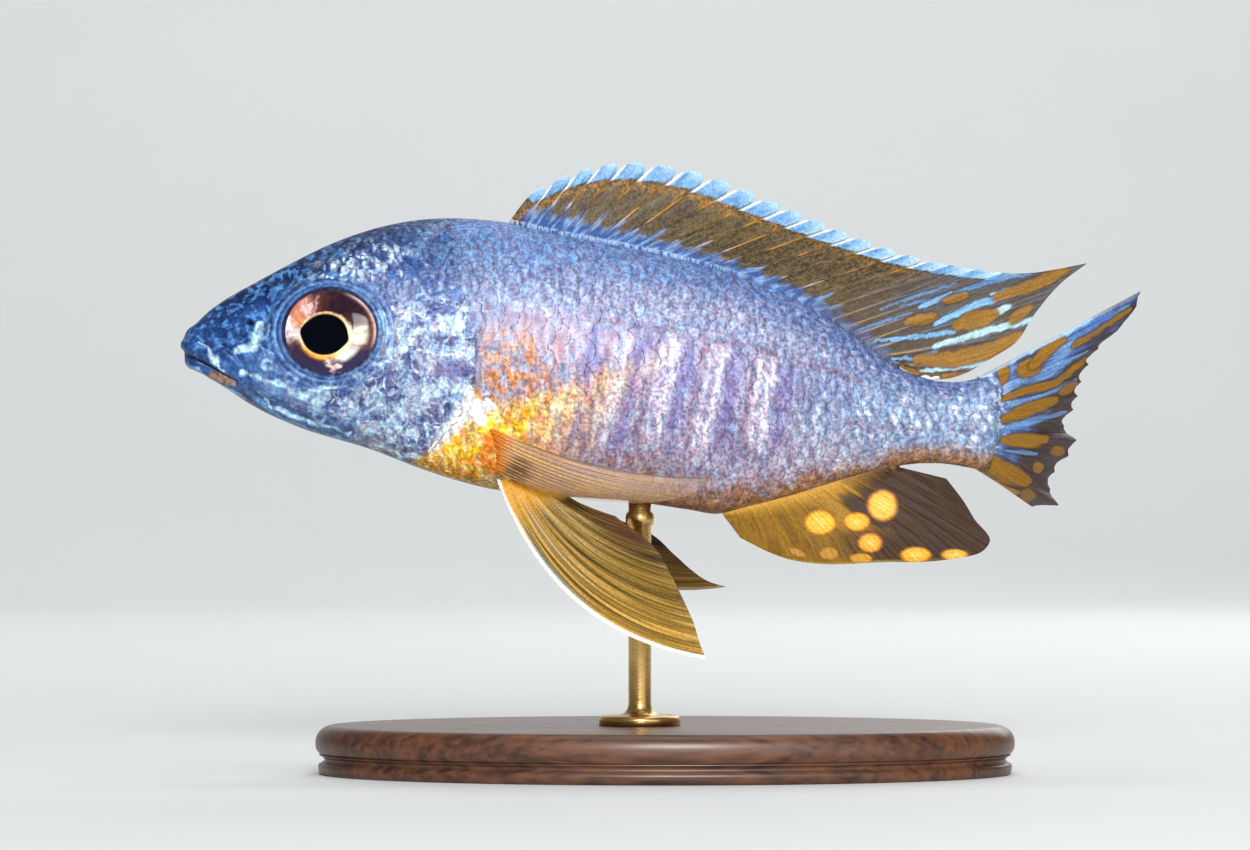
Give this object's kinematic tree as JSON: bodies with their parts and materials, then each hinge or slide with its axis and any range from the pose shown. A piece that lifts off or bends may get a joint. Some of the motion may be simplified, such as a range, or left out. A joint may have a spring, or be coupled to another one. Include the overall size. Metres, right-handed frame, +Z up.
{
  "type": "peacock cichlid fish model",
  "caption": "Life-size still model of a male peacock cichlid, swimming level with its tail swung aside, held by a rod on an oval plinth",
  "frame": {"origin": "middle of the plinth's underside, at the level the stand rests on, under the middle of the whole model's box", "axes": "+Z up through the fish's back, -X towards its snout, -Y towards its left side"},
  "size_m": [0.1183, 0.05, 0.0752],
  "materials": {
    "head_skin": "moist metallic blue skin with pale blue lines",
    "flank_skin": "lavender-blue scales with pale upright bars",
    "eye": "clear and shiny, copper and gold round a black pupil",
    "upright_fins": "olive brown membrane with blue and gold marks",
    "paired_fins": "amber and olive membrane over fine rays",
    "stand_wood": "dark stained, satin",
    "stand_metal": "brushed"
  },
  "bodies": {
    "root": {"head": "head_skin", "lower_jaw": "head_skin", "gill_cover_left": "head_skin", "gill_cover_right": "head_skin", "trunk": "flank_skin", "tail_stalk": "flank_skin", "eye_left": "eye", "eye_right": "eye", "dorsal_fin": "upright_fins", "tail_fin": "upright_fins", "anal_fin": "upright_fins", "pectoral_fin_left": "paired_fins", "pectoral_fin_right": "paired_fins", "pelvic_fin_left": "paired_fins", "pelvic_fin_right": "paired_fins", "stand_base": "stand_wood", "stand_rod": "stand_metal"}
  },
  "joints": []
}
